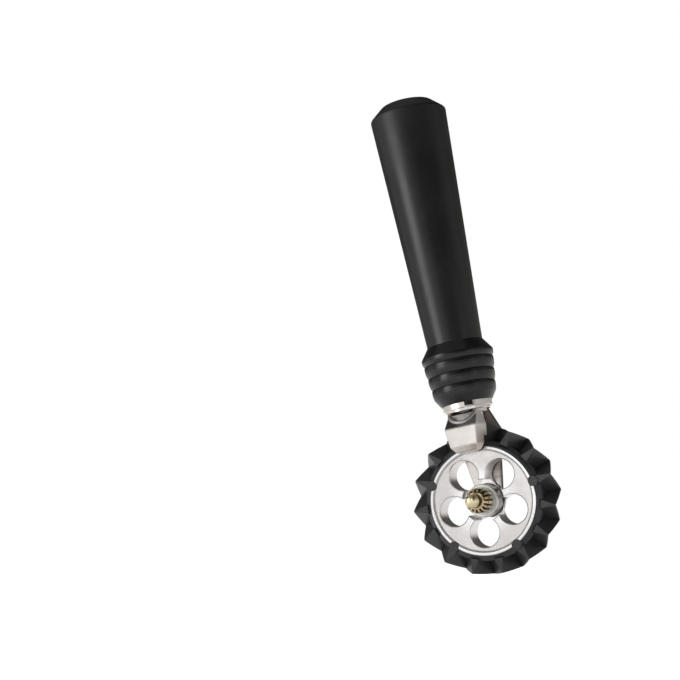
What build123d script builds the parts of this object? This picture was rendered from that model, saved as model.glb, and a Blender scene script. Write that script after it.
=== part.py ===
from build123d import *
import math
import os

os.makedirs("parts", exist_ok=True)

# Pastry wheel.  Millimetres.  The outlines below are written with the wheel
# centre at zero: the wheel turns about Y, the knob faces -Y and the grip
# points along +Z.  LIFT then moves every piece so that the frame's zero is
# the middle of the grip.

# ---- driving dimensions -------------------------------------------------
GRIP_Z = 122.0          # wheel centre to the middle of the grip

# cutting ring
RING_R = 31.0           # radius of the zigzag crest
RING_BORE_R = 23.00
RING_HALF = 5.75        # half of the band's width
TOOTH_HALF = 5.75       # half of the zigzag's width
TOOTH_N = 15            # points to each side
ROOT_R = 25.20          # foot of the pockets
TOOTH_FOOT = 1.35       # half width of a point at its foot
CREST_SHIFT = 0.45      # gives the crest its thickness
APEX0 = 9.4             # angle of one front point, degrees from +X to +Z
RIB_R = 2.0             # inner ribs that sit in the hub's keyways
RIB_IN_R = 21.05
RIB_OUT_R = 24.3
RIB_FRONT_Y = -6.45

# hub
HUB_R = 22.90
HUB_FRONT_Y = -7.0
HUB_REAR_Y = 5.75
LIP_IN_R = 21.75        # inner edge of the lip
LIP_FOOT_R = 20.95      # foot of the slope inside it
FACE_Y = -6.2
REAR_FACE_Y = 5.0
HOLE_N = 5
HOLE_R = 6.30
HOLE_PITCH_R = 13.30
WELL_R = 9.0            # sunk ring round the boss
WELL_Y = 1.8
BOSS_R = 6.85
REAR_BOSS_R = 7.4
BOSS_Y = -7.4
BOSS_REAR_Y = 5.5
HUB_BORE_R = 4.02

# bearing and axle
BUSH_R = 4.00
BUSH_ID_R = 3.04
BUSH_FLANGE_R = 5.2
SLEEVE_R = 3.00
SLEEVE_ID_R = 2.10
SLEEVE_FRONT_Y = -8.15
SCREW_R = 2.00
WASHER_R = 5.7

# knob
KNOB_R = 5.2
KNOB_BASE_Y = -8.82
SHOULDER_Y = -14.0      # the knob rounds off from here
FRONT_R = 2.7
KNURL_END_Y = -17.4
KNOB_NECK_R = 1.9
DOME_R = 2.95
DOME_Y = -22.3
KNURL_N = 16
KNURL_W = 0.85          # width and depth of a flute
KNURL_D = 1.70
KNURL_DEG = -6.8

# bracket
FLANGE_R = 10.6
FLANGE_Z0 = 39.6
FLANGE_Z1 = 42.0
STEP_R = 9.5            # turned steps under the flange
STEP_Z = 38.4
STEP2_R = 7.7
STEP2_Z = 37.3
NECK_R = 5.7            # post round the stud
BRIDGE_Z = 31.7         # underside above the ring
PLATE_TOP = (-18.4, 31.3)
PLATE_FOOT = (-18.35, 23.5)
NOSE_Z = 20.9           # underside of the nose
BEVEL_Z = 23.4          # the sides draw in below this height
BEVEL_X = 1.8
SIDE_BACK_Y = -6.0      # rear edge of the sides above the ring
LEDGE_DEG = 38.0
SCOOP_R = 6.2           # hollow in the sloping shoulder
SCOOP_Z = 39.4
SCOOP_Y = -9.0
SCOOP_LEAN = 18.0
LIP_R = 0.80            # bead round the hollow
UNDERCUT_Z = 37.2       # the hollow's wall falls back above this height
UNDERCUT_LEAN = 50.0
EDGE = 0.35             # broken edges
ARM_Y0 = 6.6
ARM_Y1 = 9.8
ARM_BOSS_Y = 11.4
KEY_DEG = 19.0          # the collar's key tooth, degrees from -Y to +X
KEY_W = 3.4
KEY_H = 1.6

# collar and grip
COLLAR_Z = (42.0, 45.4, 63.4, 68.2)
COLLAR_R = (11.0, 13.25, 15.5, 12.1)
GROOVE_Z = (50.0, 55.2, 60.4)
GROOVE_D = 0.35         # depth of the grooves
GRIP_R0 = 12.0
GRIP_R1 = 16.8
GRIP_Z1 = 171.6
GRIP_END_R = 11.1
GRIP_END_Z = 176.5
SPIGOT_R = 7.0
SPIGOT_Z = 64.4
STUD_R = 4.0
STUD_Z0 = 34.6
STUD_Z1 = 96.0

LIFT = Pos(0, 0, -GRIP_Z)


# ---- helpers ------------------------------------------------------------
def turned_y(points):
    """Outline of (radius, y) turned about the wheel axis."""
    return revolve(make_face(Polyline(*points, close=True)), Axis.Y)


def turned_z(points):
    """Outline of (radius, z) turned about the grip axis."""
    outline = Polyline(*[(r, 0, z) for r, z in points], close=True)
    return revolve(make_face(outline), Axis.Z)


def bar_y(radius, y0, y1, x=0.0, z=0.0):
    """Round bar along Y from y0 to y1."""
    return Pos(x, (y0 + y1) / 2, z) * Rot(90, 0, 0) * Cylinder(radius, abs(y1 - y0))


def polar(radius, degrees, y=0.0):
    a = math.radians(degrees)
    return Vector(radius * math.cos(a), y, radius * math.sin(a))


def save(piece, name):
    export_step(LIFT * piece, f"parts/{name}.step")


# ---- cutting ring -------------------------------------------------------
STEP = 360.0 / TOOTH_N


def pocket(degrees, side):
    """Wedge that clears the space between two neighbouring points of one
    side (-1 front, +1 rear).  Its lowest line runs at the given angle from
    the far point of the crest down to the foot."""
    far = polar(RING_R, degrees, side * (-TOOTH_HALF + CREST_SHIFT))
    near = polar(RING_R, degrees - STEP / 2, side * (TOOTH_HALF + CREST_SHIFT))
    foot_deg = degrees - STEP / 2 + math.degrees(TOOTH_FOOT / ROOT_R)
    foot = polar(ROOT_R, foot_deg, side * (TOOTH_HALF + CREST_SHIFT))
    n = (near - far).cross(foot - far).normalized()
    er = polar(1.0, degrees)
    ey = Vector(0, 1, 0)
    line = (er * n.dot(ey) - ey * n.dot(er)).normalized()
    if line.dot(er) < 0:
        line = line * -1.0
    wall = n.cross(line).normalized()
    if wall.Y * side < 0:
        wall = wall * -1.0
    et = polar(1.0, degrees + 90)
    other = wall - et * (2 * wall.dot(et))
    start = far - line * 14.0
    tri = make_face(Polyline(start, start + wall * 18.0, start + other * 18.0,
                             close=True))
    return extrude(tri, amount=24.0, dir=line)


crown = bar_y(RING_R, -TOOTH_HALF, TOOTH_HALF) - bar_y(ROOT_R - 0.5, -9, 9)
cutters = []
for k in range(TOOTH_N):
    front_apex = APEX0 + STEP * k
    cutters.append(pocket(front_apex + STEP / 2, -1))
    cutters.append(pocket(front_apex, 1))
crown = crown - cutters

band = turned_y([
    (RING_BORE_R, -RING_HALF), (RING_BORE_R + 0.45, -RING_HALF),
    (ROOT_R, -RING_HALF + 1.25), (ROOT_R, RING_HALF - 1.25),
    (RING_BORE_R + 0.45, RING_HALF), (RING_BORE_R, RING_HALF),
])
ring = crown + band
for k in range(HOLE_N):
    deg = APEX0 + 72.0 * k
    rib = extrude(
        Plane.XZ * (Pos(RIB_IN_R + RIB_R, 0) * Circle(RIB_R)
                    + Pos((RIB_IN_R + RIB_R + RIB_OUT_R) / 2, 0)
                    * Rectangle(RIB_OUT_R - RIB_IN_R - RIB_R, 2 * RIB_R)),
        amount=RING_HALF - RIB_FRONT_Y,
    )
    ring = ring + Rot(0, -deg, 0) * Pos(0, RING_HALF, 0) * rib
save(ring, "cutting_ring")

# ---- hub ----------------------------------------------------------------
hub = turned_y([
    (HUB_BORE_R, BOSS_Y), (BOSS_R - 0.3, BOSS_Y), (BOSS_R, BOSS_Y + 0.3),
    (BOSS_R, WELL_Y), (WELL_R, WELL_Y), (WELL_R, FACE_Y + 0.2),
    (WELL_R + 0.2, FACE_Y),
    (LIP_FOOT_R, FACE_Y), (LIP_IN_R, HUB_FRONT_Y), (HUB_R - 0.25, HUB_FRONT_Y),
    (HUB_R, HUB_FRONT_Y + 0.25), (HUB_R, HUB_REAR_Y - 0.25),
    (HUB_R - 0.25, HUB_REAR_Y), (LIP_IN_R, HUB_REAR_Y),
    (LIP_FOOT_R, REAR_FACE_Y), (REAR_BOSS_R, REAR_FACE_Y),
    (REAR_BOSS_R, BOSS_REAR_Y), (HUB_BORE_R, BOSS_REAR_Y),
])
drill = []
edge = 0.35
for k in range(HOLE_N):
    p = polar(HOLE_PITCH_R, APEX0 + 36.0 + 72.0 * k)
    bit = turned_y([
        (0, FACE_Y - 1.5), (HOLE_R + edge + 1.5, FACE_Y - 1.5),
        (HOLE_R, FACE_Y + edge), (HOLE_R, REAR_FACE_Y - edge),
        (HOLE_R + edge + 1.5, REAR_FACE_Y + 1.5), (0, REAR_FACE_Y + 1.5),
    ])
    drill.append(Pos(p.X, 0, p.Z) * bit)
# the drill's bevel stops short of the boss
keep = turned_y([(0, BOSS_Y - 1), (BOSS_R, BOSS_Y - 1), (BOSS_R, BOSS_REAR_Y + 1),
                 (0, BOSS_REAR_Y + 1)])
drill = [d - keep for d in drill]
hub = hub - drill
slots = []
for k in range(HOLE_N):
    slot = extrude(
        Plane.XZ * (Pos(RIB_IN_R + RIB_R, 0) * Circle(RIB_R + 0.15)
                    + Pos(RIB_IN_R + RIB_R + 2.0, 0)
                    * Rectangle(4.0, 2 * RIB_R + 0.30)),
        amount=20.0,
    )
    slots.append(Rot(0, -(APEX0 + 72.0 * k), 0) * Pos(0, 10.0, 0) * slot)
hub = hub - slots
save(hub, "hub")

# ---- bearing ------------------------------------------------------------
front_bush = turned_y([
    (BUSH_ID_R, BOSS_Y - 0.5), (BUSH_FLANGE_R, BOSS_Y - 0.5),
    (BUSH_FLANGE_R, BOSS_Y), (BUSH_R, BOSS_Y), (BUSH_R, -1.2), (BUSH_ID_R, -1.2),
])
save(front_bush, "front_bush")

rear_bush = turned_y([
    (BUSH_ID_R, -0.8), (BUSH_R, -0.8), (BUSH_R, BOSS_REAR_Y),
    (BUSH_FLANGE_R, BOSS_REAR_Y), (BUSH_FLANGE_R, BOSS_REAR_Y + 0.4),
    (BUSH_ID_R, BOSS_REAR_Y + 0.4),
])
save(rear_bush, "rear_bush")

axle_sleeve = turned_y([
    (SLEEVE_ID_R, SLEEVE_FRONT_Y), (SLEEVE_R - 0.2, SLEEVE_FRONT_Y),
    (SLEEVE_R, SLEEVE_FRONT_Y + 0.2), (SLEEVE_R, ARM_Y0), (SLEEVE_ID_R, ARM_Y0),
])
save(axle_sleeve, "axle_sleeve")

rear_washer = turned_y([
    (SLEEVE_R + 0.05, ARM_Y0 - 0.5), (WASHER_R, ARM_Y0 - 0.5),
    (WASHER_R, ARM_Y0), (SLEEVE_R + 0.05, ARM_Y0),
])
save(rear_washer, "rear_washer")

# ---- knob, screw and washer ---------------------------------------------
knob_washer = turned_y([
    (SCREW_R + 0.06, SLEEVE_FRONT_Y - 0.02), (WASHER_R - 0.15, SLEEVE_FRONT_Y - 0.02),
    (WASHER_R, SLEEVE_FRONT_Y - 0.17), (WASHER_R, SLEEVE_FRONT_Y - 0.47),
    (WASHER_R - 0.15, SLEEVE_FRONT_Y - 0.62), (SCREW_R + 0.06, SLEEVE_FRONT_Y - 0.62),
])
save(knob_washer, "knob_washer")

knob_face = make_face(
    Polyline((0, DOME_Y - DOME_R), (0, KNOB_BASE_Y), (KNOB_R - 0.3, KNOB_BASE_Y),
             (KNOB_R, KNOB_BASE_Y - 0.3), (KNOB_R, SHOULDER_Y))
    + ThreePointArc((KNOB_R, SHOULDER_Y), (4.63, -16.2), (FRONT_R, KNURL_END_Y))
    + Polyline((FRONT_R, KNURL_END_Y), (KNOB_NECK_R, KNURL_END_Y),
               (KNOB_NECK_R, DOME_Y + math.sqrt(DOME_R ** 2 - KNOB_NECK_R ** 2)))
    + ThreePointArc((KNOB_NECK_R, DOME_Y + math.sqrt(DOME_R ** 2 - KNOB_NECK_R ** 2)),
                    (DOME_R, DOME_Y), (0, DOME_Y - DOME_R))
)
thumb_knob = revolve(knob_face, Axis.Y)
flutes = []
for k in range(KNURL_N):
    deg = KNURL_DEG + 360.0 / KNURL_N * k
    flute = extrude(
        Plane.XZ * (Pos(KNOB_R + 0.5 - KNURL_D / 2, 0)
                    * Rectangle(KNURL_D - KNURL_W / 2 + 1.0, KNURL_W)
                    + Pos(KNOB_R - KNURL_D + KNURL_W / 2, 0) * Circle(KNURL_W / 2)),
        amount=KNOB_BASE_Y - KNURL_END_Y + 2.0,
    )
    flutes.append(Rot(0, -deg, 0) * Pos(0, KNOB_BASE_Y + 1.0, 0) * flute)
thumb_knob = thumb_knob - flutes - bar_y(SCREW_R + 0.02, KNOB_BASE_Y + 1, -16.0)
save(thumb_knob, "thumb_knob")

axle_screw = turned_y([
    (0, -15.8), (SCREW_R, -15.8), (SCREW_R, ARM_BOSS_Y + 0.1),
    (SCREW_R - 0.5, ARM_BOSS_Y + 0.6), (0, ARM_BOSS_Y + 0.6),
])
save(axle_screw, "axle_screw")


# ---- bracket ------------------------------------------------------------
def half_width(y, z):
    """Half width of the nose: its sides spread backwards, and upwards as far
    as the top of the plate, then close in towards the flange."""
    w = 6.5 + 0.11 * (y + 18.0)
    top = PLATE_TOP[1]
    return w + 0.13 * (min(z, top) - 28.6) - 0.254 * max(z - top, 0.0)


def even_section(y, edge):
    """Face across the nose at y, the same on both sides, from (x, z) points."""
    return make_face(Polyline(*[(x, y, z) for x, z in edge],
                              *[(-x, y, z) for x, z in reversed(edge)], close=True))


def nose_section(y):
    return even_section(y, [(half_width(y, z), z) for z in (18.0, PLATE_TOP[1], 42.0)])


def bevel_section(y):
    """Room within the two bevels at the foot of the sides."""
    w = half_width(y, BEVEL_Z)
    steep = (BEVEL_Z - NOSE_Z) / BEVEL_X
    return even_section(y, [(w - 3.0, BEVEL_Z - 3.0 * steep), (w + 3.0, BEVEL_Z + 3.0 * steep),
                            (w + 3.0, 44.0)])


wedge = loft([nose_section(-21.0), nose_section(3.0)], ruled=True)
bevels = loft([bevel_section(-21.0), bevel_section(3.0)], ruled=True)
tan_ledge = math.tan(math.radians(LEDGE_DEG))


def ledge_y(z):
    return PLATE_TOP[0] + (z - PLATE_TOP[1]) / tan_ledge


side = make_face(Polyline(*[(0, y, z) for y, z in (
    PLATE_TOP, (SCOOP_Y, PLATE_TOP[1] + (SCOOP_Y - PLATE_TOP[0]) * tan_ledge),
    (SCOOP_Y, FLANGE_Z0), (-3.5, FLANGE_Z0), (-3.5, BRIDGE_Z), (-6.4, BRIDGE_Z),
    (-6.4, 26.6), (-10.2, 26.6), (-10.2, NOSE_Z), (-15.6, NOSE_Z), PLATE_FOOT)], close=True))
nose = extrude(side, amount=16.0, both=True, dir=(1, 0, 0)) & wedge
nose = chamfer(nose.edges().filter_by(lambda e: e.center().Y < -11.5), EDGE) & bevels
# round hollow in the shoulder, with a slightly leaning back wall
hollow = bar_y(SCOOP_R, -24.0, SCOOP_Y + 4.0, z=SCOOP_Z)
lean = math.tan(math.radians(SCOOP_LEAN))
wall = [(SCOOP_Y + lean * (z - 36.0), z) for z in (30.0, UNDERCUT_Z)]
wall.append((wall[1][0] + math.tan(math.radians(UNDERCUT_LEAN)) * (STEP_Z - UNDERCUT_Z),
             STEP_Z))
room = extrude(make_face(Polyline((0, -24.0, 30.0), *[(0, y, z) for y, z in wall],
                                  (0, -24.0, STEP_Z), close=True)),
               amount=16.0, both=True, dir=(1, 0, 0))
nose = nose - (hollow & room)
# bead along the rim of the hollow
rim = Plane(origin=(0, ledge_y(SCOOP_Z), SCOOP_Z), x_dir=(1, 0, 0),
            z_dir=(0, -math.sin(math.radians(LEDGE_DEG)), math.cos(math.radians(LEDGE_DEG)))
            ) * EllipticalCenterArc((0, 0), SCOOP_R, SCOOP_R / math.sin(math.radians(LEDGE_DEG)),
                                    start_angle=197.0, arc_size=146.0)
bead = sweep((rim ^ 0) * Circle(LIP_R), rim) & wedge
nose = nose + bead
for sign in (-1, 1):
    nose = nose - Pos(sign * (4.6 + 6.0), SIDE_BACK_Y + 3.0, 36.0) * Box(12.0, 6.0, 12.0)

neck = Pos(0, 0, (BRIDGE_Z + FLANGE_Z0) / 2) * Cylinder(NECK_R, FLANGE_Z0 - BRIDGE_Z)
web = Pos(0, (ARM_Y0 + 1.0) / 2, (BRIDGE_Z + FLANGE_Z0) / 2) * Box(
    9.2, ARM_Y0 + 1.0, FLANGE_Z0 - BRIDGE_Z)
neck = neck + web + turned_z([
    (0, STEP2_Z), (STEP2_R - 0.2, STEP2_Z), (STEP2_R, STEP2_Z + 0.2), (STEP2_R, STEP_Z),
    (STEP_R - 0.25, STEP_Z), (STEP_R, STEP_Z + 0.25), (STEP_R, FLANGE_Z0),
    (0, FLANGE_Z0)])
flange = turned_z([(0, FLANGE_Z0), (FLANGE_R - 0.2, FLANGE_Z0),
                   (FLANGE_R, FLANGE_Z0 + 0.2), (FLANGE_R, FLANGE_Z1),
                   (0, FLANGE_Z1)])
arm_outline = make_face(Polyline(*[(x, 0, z) for x, z in (
    (6.1, FLANGE_Z0), (10.4, 28.9), (7.6, 16.0), (5.2, 1.5), (-5.2, 1.5),
    (-7.6, 16.0), (-10.4, 28.9), (-6.1, FLANGE_Z0))], close=True))
arm = Pos(0, ARM_Y0, 0) * extrude(arm_outline, amount=ARM_Y1 - ARM_Y0, dir=(0, 1, 0))
arm = arm + bar_y(5.5, ARM_Y0, ARM_Y1)
arm = chamfer(arm.edges().filter_by(lambda e: abs(e.center().Y - ARM_Y1) < 0.01
                                    or abs(e.center().Y - ARM_Y0) < 0.01), EDGE)
arm = arm + turned_y([(0, ARM_Y1 - 0.5), (4.6, ARM_Y1 - 0.5), (4.6, ARM_BOSS_Y - 0.3),
                      (4.3, ARM_BOSS_Y), (0, ARM_BOSS_Y)])
bracket = nose + neck + flange + arm


def key(width, depth_in, height, top):
    """Block at the flange's edge for the key tooth and its notch."""
    block = Box(width, 6.0, height)
    return Rot(0, 0, KEY_DEG) * Pos(0, -depth_in - 3.0, top - height / 2) * block


bracket = (bracket
           - key(KEY_W + 0.2, 7.8, KEY_H + 0.15, FLANGE_Z1 + 0.0)
           - bar_y(SCREW_R + 0.05, ARM_Y0 - 1, ARM_BOSS_Y + 1)
           - Pos(0, 0, (STUD_Z0 - 0.3 + FLANGE_Z1 + 1) / 2)
           * Cylinder(STUD_R + 0.05, FLANGE_Z1 + 1 - STUD_Z0 + 0.3))
save(bracket, "bracket")

# ---- collar -------------------------------------------------------------
z0, z1, z2, z3 = COLLAR_Z
r0, r1, r2, r3 = COLLAR_R
outline = [(STUD_R + 0.3, z0), (r0, z0), (r1, z1)]


def cone_r(z):
    return r1 + (r2 - r1) * (z - z1) / (z2 - z1)


edges = [z1] + list(GROOVE_Z) + [z2]
for i in range(4):
    a, b = edges[i], edges[i + 1]
    lo = a + (0.0 if i == 0 else 0.45)
    hi = b - (0.0 if i == 3 else 0.45)
    if i > 0:
        outline.append((cone_r(lo) - 0.05, lo))
    for t in (0.25, 0.5, 0.75):
        z = lo + (hi - lo) * t
        outline.append((cone_r(z) + 0.20 * (1 - (2 * t - 1) ** 2), z))
    if i < 3:
        outline.append((cone_r(hi) - 0.05, hi))
        outline.append((cone_r(b) - GROOVE_D, b))
    else:
        outline.append((r2, z2))
outline += [(r3, z3), (SPIGOT_R + 0.05, z3), (SPIGOT_R + 0.05, SPIGOT_Z - 0.3),
            (STUD_R + 0.3, SPIGOT_Z - 0.3)]
ribbed_collar = turned_z(outline)
limit = Pos(0, 0, FLANGE_Z1) * Cylinder(FLANGE_R, 8.0)
tooth = key(KEY_W, 8.0, KEY_H + 0.6, FLANGE_Z1 + 0.6) & limit
ribbed_collar = ribbed_collar + tooth
save(ribbed_collar, "ribbed_collar")

# ---- stud and grip ------------------------------------------------------
tie_stud = turned_z([(0, STUD_Z0), (STUD_R - 0.6, STUD_Z0), (STUD_R, STUD_Z0 + 0.6),
                     (STUD_R, STUD_Z1 - 0.6), (STUD_R - 0.6, STUD_Z1), (0, STUD_Z1)])
save(tie_stud, "tie_stud")

handle = turned_z([
    (STUD_R + 0.05, SPIGOT_Z), (SPIGOT_R, SPIGOT_Z), (SPIGOT_R, z3),
    (GRIP_R0, z3), (GRIP_R1 - 0.05, GRIP_Z1 - 0.6), (GRIP_R1 - 0.15, GRIP_Z1 - 0.15),
    (GRIP_R1 - 0.5, GRIP_Z1 + 0.35), (GRIP_END_R + 0.5, GRIP_END_Z - 0.35),
    (GRIP_END_R, GRIP_END_Z), (0, GRIP_END_Z), (0, STUD_Z1 + 4.0),
    (STUD_R + 0.05, STUD_Z1 + 2.0),
])
save(handle, "handle")
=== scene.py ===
import math

import bpy
from mathutils import Matrix, Vector


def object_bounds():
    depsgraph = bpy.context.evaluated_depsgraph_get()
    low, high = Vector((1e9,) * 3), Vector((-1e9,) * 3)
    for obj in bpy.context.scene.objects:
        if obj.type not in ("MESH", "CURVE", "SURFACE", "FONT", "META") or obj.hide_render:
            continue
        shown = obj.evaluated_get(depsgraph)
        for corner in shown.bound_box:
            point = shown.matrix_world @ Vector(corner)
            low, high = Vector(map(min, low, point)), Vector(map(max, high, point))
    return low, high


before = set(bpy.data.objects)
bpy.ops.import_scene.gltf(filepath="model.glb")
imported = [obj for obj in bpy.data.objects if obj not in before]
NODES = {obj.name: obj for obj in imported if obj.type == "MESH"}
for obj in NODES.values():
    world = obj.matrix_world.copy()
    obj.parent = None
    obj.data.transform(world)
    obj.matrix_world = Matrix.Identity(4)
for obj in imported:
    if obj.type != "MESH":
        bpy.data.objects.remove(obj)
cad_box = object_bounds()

MM = 0.001
WHEEL = Vector((0.0, 0.0, -0.122))      # wheel centre
scene = bpy.context.scene
scene.view_settings.view_transform = "Standard"
scene.view_settings.look = "None"
ROOM_FRONT, ROOM_LOW, ROOM_HIGH = 0.035, 0.80, 0.09


# ---- node helpers ---------------------------------------------------------
class Tree:
    """Small builder for a material's node tree."""

    def __init__(self, name):
        self.mat = bpy.data.materials.new(name)
        self.mat.use_nodes = True
        self.nt = self.mat.node_tree
        self.nt.nodes.clear()
        self.out = self.nt.nodes.new("ShaderNodeOutputMaterial")
        self.bsdf = self.nt.nodes.new("ShaderNodeBsdfPrincipled")
        self.link(self.bsdf.outputs["BSDF"], self.out.inputs["Surface"])
        self.coord = self.nt.nodes.new("ShaderNodeTexCoord")

    def link(self, a, b):
        self.nt.links.new(a, b)

    def put(self, socket, value):
        if hasattr(value, "is_output") or isinstance(value, bpy.types.NodeSocket):
            self.link(value, socket)
        else:
            socket.default_value = value

    def set(self, **values):
        names = {"color": "Base Color", "metallic": "Metallic", "rough": "Roughness",
                 "ior": "IOR", "spec": "Specular IOR Level", "aniso": "Anisotropic",
                 "normal": "Normal", "tangent": "Tangent", "coat": "Coat Weight",
                 "coat_rough": "Coat Roughness", "emit": "Emission Color",
                 "emit_strength": "Emission Strength"}
        for key, value in values.items():
            self.put(self.bsdf.inputs[names[key]], value)

    def math(self, op, a, b=None, c=None, clamp=False):
        n = self.nt.nodes.new("ShaderNodeMath")
        n.operation = op
        n.use_clamp = clamp
        for i, v in enumerate((a, b, c)):
            if v is not None:
                self.put(n.inputs[i], v)
        return n.outputs[0]

    def vec(self, op, a, b=None, scale=None):
        n = self.nt.nodes.new("ShaderNodeVectorMath")
        n.operation = op
        self.put(n.inputs[0], a)
        if b is not None:
            self.put(n.inputs[1], b)
        if scale is not None:
            self.put(n.inputs["Scale"], scale)
        return n.outputs["Value"] if op in ("LENGTH", "DOT_PRODUCT") else n.outputs[0]

    def xyz(self, v):
        n = self.nt.nodes.new("ShaderNodeSeparateXYZ")
        self.put(n.inputs[0], v)
        return n.outputs[0], n.outputs[1], n.outputs[2]

    def combine(self, x, y, z):
        n = self.nt.nodes.new("ShaderNodeCombineXYZ")
        for i, v in enumerate((x, y, z)):
            self.put(n.inputs[i], v)
        return n.outputs[0]

    def noise(self, vector, scale, detail=2.0, rough=0.5, dims="3D", w=None):
        n = self.nt.nodes.new("ShaderNodeTexNoise")
        n.noise_dimensions = dims
        if dims != "1D":
            self.put(n.inputs["Vector"], vector)
        if w is not None:
            self.put(n.inputs["W"], w)
        n.inputs["Scale"].default_value = scale
        n.inputs["Detail"].default_value = detail
        n.inputs["Roughness"].default_value = rough
        return n.outputs[0]

    def ramp(self, fac, stops, smooth=False):
        n = self.nt.nodes.new("ShaderNodeValToRGB")
        n.color_ramp.interpolation = "EASE" if smooth else "LINEAR"
        els = n.color_ramp.elements
        while len(els) < len(stops):
            els.new(0.5)
        for e, (pos, col) in zip(els, stops):
            e.position = pos
            e.color = (*col, 1.0) if len(col) == 3 else col
        self.put(n.inputs[0], fac)
        return n.outputs[0]

    def span(self, value, a, b, lo, hi, smooth=True):
        n = self.nt.nodes.new("ShaderNodeMapRange")
        n.interpolation_type = "SMOOTHSTEP" if smooth else "LINEAR"
        for i, v in enumerate((value, a, b, lo, hi)):
            self.put(n.inputs[i], v)
        return n.outputs[0]

    def mix(self, fac, a, b):
        n = self.nt.nodes.new("ShaderNodeMix")
        n.data_type = "RGBA"
        self.put(n.inputs[0], fac)
        for socket, v in ((n.inputs[6], a), (n.inputs[7], b)):
            self.put(socket, (*v, 1.0) if isinstance(v, tuple) and len(v) == 3 else v)
        return n.outputs[2]

    def bump(self, height, distance, strength=1.0, normal=None):
        n = self.nt.nodes.new("ShaderNodeBump")
        n.inputs["Strength"].default_value = strength
        n.inputs["Distance"].default_value = distance
        self.put(n.inputs["Height"], height)
        if normal is not None:
            self.put(n.inputs["Normal"], normal)
        return n.outputs[0]

    def place(self):
        return self.coord.outputs["Object"]

    def within(self, value, lo, hi, soft):
        """1 between lo and hi, fading out over soft."""
        return self.math("MULTIPLY", self.span(value, lo - soft, lo, 0.0, 1.0),
                         self.span(value, hi, hi + soft, 1.0, 0.0))

    def facing_x(self):
        """How far the surface faces sideways."""
        nx, ny, nz = self.xyz(self.coord.outputs["Normal"])
        return self.math("ABSOLUTE", nx)

    def from_wheel(self):
        """Place seen from the wheel centre, and the distance from its axis."""
        p = self.vec("SUBTRACT", self.place(), tuple(WHEEL))
        x, y, z = self.xyz(p)
        r = self.vec("LENGTH", self.combine(x, 0.0, z))
        return p, r, y


# ---- materials ------------------------------------------------------------
def black_anodised(name, rough, lines, shine):
    """Turned aluminium, anodised black: fine turning lines round the axis,
    slightly uneven dye and sheen, duller where the palm rests on the free end."""
    t = Tree(name)
    x, y, z = t.xyz(t.place())
    cloud = t.noise(t.place(), 70.0, 3.0, 0.55)
    cut = t.noise(None, 5200.0, 3.0, 0.7, "1D", z)
    feed = t.noise(None, 900.0, 2.0, 0.5, "1D", z)
    t.set(color=t.ramp(cloud, [(0.3, (0.0042, 0.0042, 0.0045)), (0.75, (0.0072, 0.0072, 0.0076))]),
          metallic=0.0, spec=shine, ior=1.5,
          rough=t.math("ADD", t.math("ADD", t.span(cloud, 0.3, 0.7, rough - 0.03, rough + 0.03),
                                     t.span(z, 0.010, 0.056, 0.0, 0.12)),
                       t.math("MULTIPLY", t.math("SUBTRACT", cut, 0.5), 0.10)),
          normal=t.bump(t.math("ADD", t.math("MULTIPLY", cut, 0.6), t.math("MULTIPLY", feed, 0.6)),
                        0.000012, lines))
    return t.mat


def ring_black():
    """Moulded black ring: fine grain, crest a little polished by use."""
    t = Tree("ring_black_moulded")
    p, r, y = t.from_wheel()
    grain = t.noise(t.place(), 2600.0, 3.0, 0.6)
    cloud = t.noise(t.place(), 160.0, 2.0, 0.5)
    worn = t.math("MULTIPLY", t.span(r, 0.0298, 0.0310, 0.0, 1.0),
                  t.span(t.noise(t.place(), 420.0, 3.0, 0.6), 0.35, 0.7, 0.2, 1.0))
    t.set(color=t.mix(worn, t.ramp(cloud, [(0.3, (0.0255, 0.0254, 0.0254)), (0.7, (0.0335, 0.0332, 0.0327))]),
                      (0.045, 0.044, 0.043)),
          metallic=0.0, spec=0.5, ior=1.49,
          rough=t.math("SUBTRACT", t.span(grain, 0.3, 0.7, 0.32, 0.42), t.math("MULTIPLY", worn, 0.08)),
          normal=t.bump(grain, 0.00002, 0.35))
    return t.mat


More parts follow.
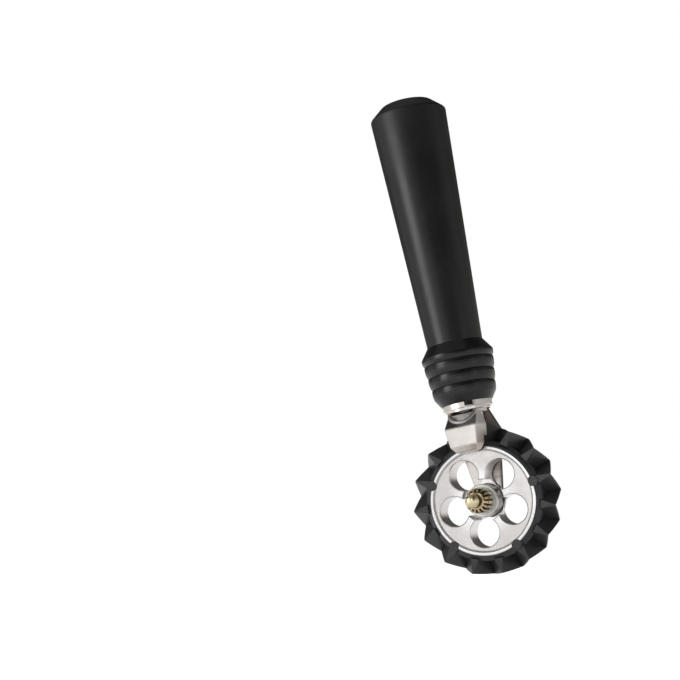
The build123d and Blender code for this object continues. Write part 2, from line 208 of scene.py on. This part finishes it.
def hub_metal():
    """Turned aluminium disc: rings of the lathe tool on the face, polished lip,
    matt boss face; painted shade down in the recessed ring round the boss, and
    the face painted lighter inside than towards the lip."""
    t = Tree("hub_turned_aluminium")
    p, r, y = t.from_wheel()
    fine = t.noise(None, 6500.0, 3.0, 0.7, "1D", r)
    feed = t.noise(None, 1100.0, 2.0, 0.5, "1D", r)
    along = t.noise(None, 3000.0, 2.0, 0.6, "1D", y)
    cloud = t.noise(t.place(), 130.0, 3.0, 0.55)
    lines = t.math("ADD", t.math("ADD", t.math("MULTIPLY", fine, 0.5), t.math("MULTIPLY", feed, 0.6)),
                   t.math("MULTIPLY", along, 0.3))
    tan = t.nt.nodes.new("ShaderNodeTangent")
    tan.direction_type = "RADIAL"
    tan.axis = "Y"
    lip = t.span(r, 0.02165, 0.0218, 0.0, 1.0)
    slope = t.within(r, 0.02100, 0.02165, 0.0001)
    # painted shade: the face is painted darker towards the lip and lighter inside
    face_lighter_inside = t.span(r, 0.0100, 0.0165, 1.0, 0.0)
    # painted shade: dark down in the recessed ring round the boss
    sunk_ring_shade = t.math("MULTIPLY", t.span(r, 0.0071, 0.0076, 1.0, 0.0), t.span(y, -0.0071, -0.0060, 0.0, 0.94))
    boss = t.math("MULTIPLY", t.span(r, 0.0069, 0.0071, 1.0, 0.0), t.span(y, -0.0071, -0.0069, 1.0, 0.0))
    face = t.mix(face_lighter_inside, t.ramp(cloud, [(0.25, (0.635, 0.612, 0.600)), (0.75, (0.735, 0.710, 0.697))]),
                 t.ramp(cloud, [(0.25, (0.855, 0.845, 0.835)), (0.75, (0.935, 0.925, 0.915))]))
    t.set(color=t.mix(sunk_ring_shade, t.mix(boss, t.mix(lip, face, (0.86, 0.86, 0.865)), (0.68, 0.67, 0.63)), (0.075, 0.068, 0.063)),
          metallic=1.0, aniso=0.35, tangent=tan.outputs[0],
          rough=t.math("ADD", t.math("SUBTRACT", t.span(cloud, 0.3, 0.7, 0.22, 0.29), t.math("MULTIPLY", lip, 0.05)),
                       t.math("ADD", t.math("MULTIPLY", t.math("SUBTRACT", fine, 0.5), 0.12),
                              t.math("MULTIPLY", t.math("MAXIMUM", slope, boss), 0.25))),
          normal=t.bump(lines, 0.000010, 0.5))
    return t.mat


def bright_metal():
    """Nickelled casting: satin, faintly brushed.  Painted shade: the sloping shoulder,
    the hollow above it, the undercut below the flange, the front and flanks of the
    arm above the ring and the arm behind the hub are painted darker; the flanks are blasted."""
    t = Tree("bracket_bright_nickel")
    x, y, z = t.xyz(t.place())
    nx, ny, nz = t.xyz(t.coord.outputs["Normal"])
    brushed = t.noise(t.combine(t.math("MULTIPLY", x, 160.0), t.math("MULTIPLY", y, 160.0),
                                t.math("MULTIPLY", z, 5200.0)), 1.0, 3.0, 0.6)
    cloud = t.noise(t.place(), 150.0, 3.0, 0.55)
    fine = t.noise(t.place(), 2400.0, 3.0, 0.6)
    flank = t.span(t.math("ABSOLUTE", nx), 0.60, 0.85, 0.0, 1.0)
    front = t.span(ny, -0.55, -0.30, 1.0, 0.0)
    # height over the sloping shoulder, in millimetres
    over = t.math("ADD", t.math("SUBTRACT", t.math("MULTIPLY", z, 788.0), t.math("MULTIPLY", y, 615.7)), 60.14)
    nose = t.span(y, -0.0092, -0.0088, 1.0, 0.0)
    # painted shade: the sloping ledge is painted dark
    slope = t.math("MULTIPLY", t.math("MULTIPLY", t.within(over, -0.15, 0.10, 0.10), nose),
                   t.span(nz, 0.35, 0.60, 0.0, 1.0))
    # painted reflection: the dark fades towards +x
    slope = t.math("MULTIPLY", slope, t.span(x, -0.002, 0.0045, 1.0, 0.28))
    # painted shade: the hollow above the ledge is painted mid-grey
    bead = t.math("MULTIPLY", t.math("MULTIPLY", t.span(over, 0.14, 0.26, 0.0, 1.0), nose),
                  t.span(z, -0.0850, -0.0847, 1.0, 0.0))
    # painted shade: the undercut below the flange is painted dark
    under = t.math("MULTIPLY", t.within(z, -0.0845, -0.0836, 0.0003), t.within(y, -0.0092, -0.0050, 0.0004))
    under = t.math("MULTIPLY", under, t.within(x, -0.0046, 0.0046, 0.0012))
    arm = t.math("MULTIPLY", t.span(y, 0.0045, 0.0060, 0.0, 1.0), front)
    # painted shade: the front of the arm above the ring is painted dark
    shoulder = t.math("MULTIPLY", arm, t.within(z, -0.0938, -0.0842, 0.0010))
    # painted shade: the flanks of the arm are painted dark
    edge = t.math("MULTIPLY", t.span(y, 0.0045, 0.0060, 0.0, 1.0), flank)
    # painted shade: the arm behind the hub is painted dark on its +x side
    arm_shade_behind_hub = t.math("MULTIPLY", t.math("MULTIPLY", arm, t.span(x, 0.0012, 0.0030, 0.0, 0.80)),
                   t.math("MULTIPLY", t.span(z, -0.0960, -0.0945, 1.0, 0.0), t.span(z, -0.1165, -0.1085, 0.35, 1.0)))
    # painted shade: the dark marks joined into one mask
    painted_shade_mask = t.math("MAXIMUM", t.math("MAXIMUM", slope, t.math("MULTIPLY", under, 0.8)),
                  t.math("MAXIMUM", t.math("MAXIMUM", shoulder, edge), arm_shade_behind_hub))
    smooth = t.math("MULTIPLY", arm, t.span(z, -0.0960, -0.0945, 1.0, 0.0))
    nickel = t.ramp(cloud, [(0.25, (0.725, 0.682, 0.648)), (0.75, (0.815, 0.768, 0.733))])
    nickel = t.mix(t.math("MULTIPLY", bead, 0.8), nickel, (0.40, 0.385, 0.37))
    # painted shade colour, with a lighter one on the front of the arm
    painted_shade_colour = t.ramp(t.math("MULTIPLY", t.math("ADD", cloud, fine), 0.5),
                  [(0.3, (0.090, 0.079, 0.073)), (0.7, (0.175, 0.154, 0.142))])
    painted_shade_colour = t.mix(shoulder, painted_shade_colour, t.ramp(fine, [(0.3, (0.185, 0.163, 0.151)), (0.7, (0.305, 0.271, 0.252))]))
    rough = t.math("ADD", t.span(cloud, 0.3, 0.7, 0.27, 0.34),
                   t.math("MULTIPLY", t.math("SUBTRACT", brushed, 0.5), 0.12))
    rough = t.math("ADD", rough, t.math("MULTIPLY", flank, 0.30))
    rough = t.math("ADD", rough, t.math("MULTIPLY", bead, 0.28))
    rough = t.math("SUBTRACT", rough, t.math("MULTIPLY", smooth, 0.12))
    rough = t.math("ADD", rough, t.math("MULTIPLY", painted_shade_mask, 0.16))
    grain = t.math("ADD", t.math("MULTIPLY", fine, t.math("MAXIMUM", flank, painted_shade_mask)), t.math("MULTIPLY", cloud, 0.6))
    t.set(color=t.mix(painted_shade_mask, nickel, painted_shade_colour), metallic=1.0, rough=rough,
          normal=t.bump(t.math("ADD", brushed, grain), 0.000008, 0.5))
    return t.mat


def brass():
    """Polished brass, painted shade dark brown in the flutes and round the neck, the round end painted paler as a
    highlight.
    """
    t = Tree("knob_brass")
    p, r, y = t.from_wheel()
    cloud = t.noise(t.place(), 420.0, 4.0, 0.6)
    fine = t.noise(None, 7000.0, 3.0, 0.7, "1D", y)
    rounded = t.math("POWER", t.span(y, -0.0174, -0.0140, 1.0, 0.0, False), 2.2)
    depth = t.math("SUBTRACT", t.math("SUBTRACT", 0.0052, t.math("MULTIPLY", rounded, 0.0025)), r)
    # painted shade: dark brown down in the flutes and round the neck
    flute = t.math("MULTIPLY", t.span(depth, 0.0002, 0.0007, 0.0, 1.0), t.span(y, -0.0175, -0.0171, 0.0, 1.0))
    neck = t.math("MULTIPLY", t.span(r, 0.0026, 0.0034, 1.0, 0.0), t.within(y, -0.0208, -0.0166, 0.0006))
    # painted highlight: the round end is painted paler than the rest of the knob
    ball_painted_light = t.span(y, -0.0203, -0.0197, 1.0, 0.0)
    flute_and_neck_shade = t.math("MAXIMUM", flute, neck)
    metal = t.ramp(cloud, [(0.25, (0.50, 0.385, 0.21)), (0.55, (0.62, 0.50, 0.30)), (0.8, (0.70, 0.59, 0.39))])
    metal = t.mix(ball_painted_light, metal, t.ramp(cloud, [(0.25, (0.74, 0.62, 0.38)), (0.8, (0.86, 0.76, 0.52))]))
    t.set(color=t.mix(flute_and_neck_shade, metal, (0.130, 0.088, 0.045)),
          metallic=1.0,
          rough=t.math("ADD", t.math("ADD", t.span(cloud, 0.3, 0.7, 0.30, 0.22),
                                     t.math("MULTIPLY", t.math("SUBTRACT", fine, 0.5), 0.08)),
                       t.math("ADD", t.math("MULTIPLY", flute_and_neck_shade, 0.25), t.math("MULTIPLY", ball_painted_light, 0.06))),
          normal=t.bump(fine, 0.000006, 0.5))
    return t.mat


def steel():
    """Turned steel: fine rings and faint oil stains."""
    t = Tree("steel_turned")
    p, r, y = t.from_wheel()
    fine = t.noise(None, 6000.0, 3.0, 0.7, "1D", t.math("ADD", r, y))
    cloud = t.noise(t.place(), 300.0, 3.0, 0.6)
    t.set(color=t.ramp(cloud, [(0.25, (0.50, 0.49, 0.48)), (0.75, (0.64, 0.64, 0.63))]),
          metallic=1.0,
          rough=t.math("ADD", t.span(cloud, 0.3, 0.7, 0.28, 0.38), t.math("MULTIPLY", t.math("SUBTRACT", fine, 0.5), 0.1)),
          normal=t.bump(fine, 0.000008, 0.5))
    return t.mat


def bearing_plastic():
    """Pale bearing plastic with a fine moulded grain."""
    t = Tree("bearing_plastic_pale")
    grain = t.noise(t.place(), 3000.0, 3.0, 0.6)
    cloud = t.noise(t.place(), 260.0, 2.0, 0.5)
    t.set(color=t.ramp(cloud, [(0.3, (0.52, 0.49, 0.43)), (0.7, (0.60, 0.575, 0.515))]),
          metallic=0.0, spec=0.45,
          rough=t.span(grain, 0.3, 0.7, 0.42, 0.55),
          normal=t.bump(grain, 0.000015, 0.4))
    return t.mat


MATS = {
    "handle": black_anodised("handle_black_anodised", 0.36, 0.5, 0.44),
    "ribbed_collar": black_anodised("collar_black_anodised", 0.28, 0.5, 0.39),
    "cutting_ring": ring_black(),
    "hub": hub_metal(),
    "bracket": bright_metal(),
    "thumb_knob": brass(),
}
STEEL = steel()
for n in ("tie_stud", "axle_sleeve", "rear_washer", "knob_washer", "axle_screw"):
    MATS[n] = STEEL
PLASTIC = bearing_plastic()
for n in ("front_bush", "rear_bush"):
    MATS[n] = PLASTIC
for n, obj in NODES.items():
    for s in obj.material_slots:
        s.material = MATS[n]


# ---- floor and light ------------------------------------------------------
def floor_material():
    """Pale studio floor, lit through from below so that it meets the backdrop
    without an edge; the glow is dimmed round the object as a painted shadow."""
    t = Tree("floor_white")
    cloud = t.noise(t.place(), 6.0, 2.0, 0.5)
    path = t.nt.nodes.new("ShaderNodeLightPath")
    x, y, z = t.xyz(t.place())
    away = t.vec("LENGTH", t.combine(x, y, 0.0))
    # painted shadow: the glow is weaker near the object
    t.set(color=t.ramp(cloud, [(0.3, (0.90, 0.90, 0.90)), (0.7, (0.93, 0.93, 0.93))]),
          metallic=0.0, rough=0.95, spec=0.0, emit=(1.0, 1.0, 1.0, 1.0),
          emit_strength=t.span(path.outputs["Is Camera Ray"], 0.0, 1.0, t.span(away, 0.01, 0.12, 0.30, 0.70),
                               t.span(away, 0.01, 0.11, 0.74, 1.0), False))
    return t.mat


me = bpy.data.meshes.new("floor")
s = 4.0
z = cad_box[0].z - 0.00005
me.from_pydata([(-s, -s, z), (s, -s, z), (s, s, z), (-s, s, z)], [], [(0, 1, 2, 3)])
floor = bpy.data.objects.new("floor", me)
scene.collection.objects.link(floor)
me.materials.append(floor_material())

world = bpy.data.worlds.new("studio")
scene.world = world
world.use_nodes = True
wn = world.node_tree
wn.nodes.clear()


def w_node(kind, **inputs):
    n = wn.nodes.new(kind)
    for key, value in inputs.items():
        n.inputs[key].default_value = value
    return n


# the backdrop is white where it is seen; the room round it is dim on the side
# of the camera and brighter low down behind the object
w_out = w_node("ShaderNodeOutputWorld")
w_mix = w_node("ShaderNodeMixShader")
w_path = w_node("ShaderNodeLightPath")
w_seen = w_node("ShaderNodeBackground", Color=(1, 1, 1, 1), Strength=1.0)
w_room = w_node("ShaderNodeBackground", Color=(1.0, 0.93, 0.88, 1))
w_dir = w_node("ShaderNodeTexCoord")
w_xyz = w_node("ShaderNodeSeparateXYZ")
w_dot = wn.nodes.new("ShaderNodeVectorMath")
w_dot.operation = "DOT_PRODUCT"
w_dot.inputs[1].default_value = (0.15, 0.97, 0.15)


def w_range(value, a, b, lo, hi):
    n = wn.nodes.new("ShaderNodeMapRange")
    n.interpolation_type = "SMOOTHSTEP"
    for i, v in ((1, a), (2, b), (3, lo), (4, hi)):
        if hasattr(v, "is_output"):
            wn.links.new(v, n.inputs[i])
        else:
            n.inputs[i].default_value = v
    wn.links.new(value, n.inputs[0])
    return n.outputs[0]


wn.links.new(w_dir.outputs["Generated"], w_dot.inputs[0])
wn.links.new(w_dir.outputs["Generated"], w_xyz.inputs[0])
w_behind = w_range(w_xyz.outputs[2], 0.0, 0.17, ROOM_LOW, ROOM_HIGH)
w_strength = w_range(w_dot.outputs["Value"], -0.35, 0.85, ROOM_FRONT, w_behind)
wn.links.new(w_strength, w_room.inputs["Strength"])
wn.links.new(w_path.outputs["Is Camera Ray"], w_mix.inputs[0])
wn.links.new(w_room.outputs[0], w_mix.inputs[1])
wn.links.new(w_seen.outputs[0], w_mix.inputs[2])
wn.links.new(w_mix.outputs[0], w_out.inputs[0])

AIM = Vector((0.0, 0.0, -0.06))


def softbox(name, direction, distance, width, height, power, aim=AIM, spread=180):
    data = bpy.data.lights.new(name, "AREA")
    data.shape = "RECTANGLE"
    data.size, data.size_y = width, height
    data.energy = power
    data.spread = math.radians(spread)
    obj = bpy.data.objects.new(name, data)
    d = Vector(direction).normalized()
    obj.location = aim + d * distance
    obj.rotation_mode = "QUATERNION"
    obj.rotation_quaternion = d.to_track_quat("Z", "Y")
    obj.visible_camera = False
    scene.collection.objects.link(obj)
    return obj


def toward(azimuth, height):
    """Direction at an azimuth in degrees from -Y towards +X."""
    a = math.radians(azimuth)
    return (math.sin(a), -math.cos(a), height)


softbox("key_left", toward(-46, 0.30), 1.2, 0.52, 1.1, 8.1)
softbox("fill_front", toward(-15, 0.01), 1.3, 0.74, 0.46, 0.94)
softbox("side_left", toward(-88, 0.15), 1.2, 0.8, 1.1, 1.35)
softbox("side_right", toward(98, 0.10), 1.2, 0.8, 1.1, 0.65)
softbox("top", (-0.12, -0.05, 1.0), 0.9, 0.9, 0.9, 0.75)
softbox("card_low", toward(64, 0.22), 0.26, 0.10, 0.10, 0.018, WHEEL)
softbox("card_knob", toward(12, 0.38), 0.065, 0.024, 0.050, 0.0017,
        WHEEL + Vector((0.0, -0.0223, 0.0)), 80)

# ---- camera ---------------------------------------------------------------
right = Vector((0.913535, 0.3608073, -0.1878081))
up = Vector((0.2311915, -0.0806827, 0.969557))
ahead = Vector((-0.3346704, 0.9291439, 0.1571221))
cam_data = bpy.data.cameras.new("camera")
cam_data.sensor_fit = "HORIZONTAL"
cam_data.sensor_width = 36.0
cam_data.lens = 1578.2577 * 36.0 / 680.0
cam_data.clip_start = 0.01
cam_data.clip_end = 50.0
cam = bpy.data.objects.new("camera", cam_data)
m = Matrix((right, up, -ahead)).transposed().to_4x4()
m.translation = Vector((0.182388, -0.648492, -0.149452))
cam.matrix_world = m
scene.collection.objects.link(cam)
scene.camera = cam
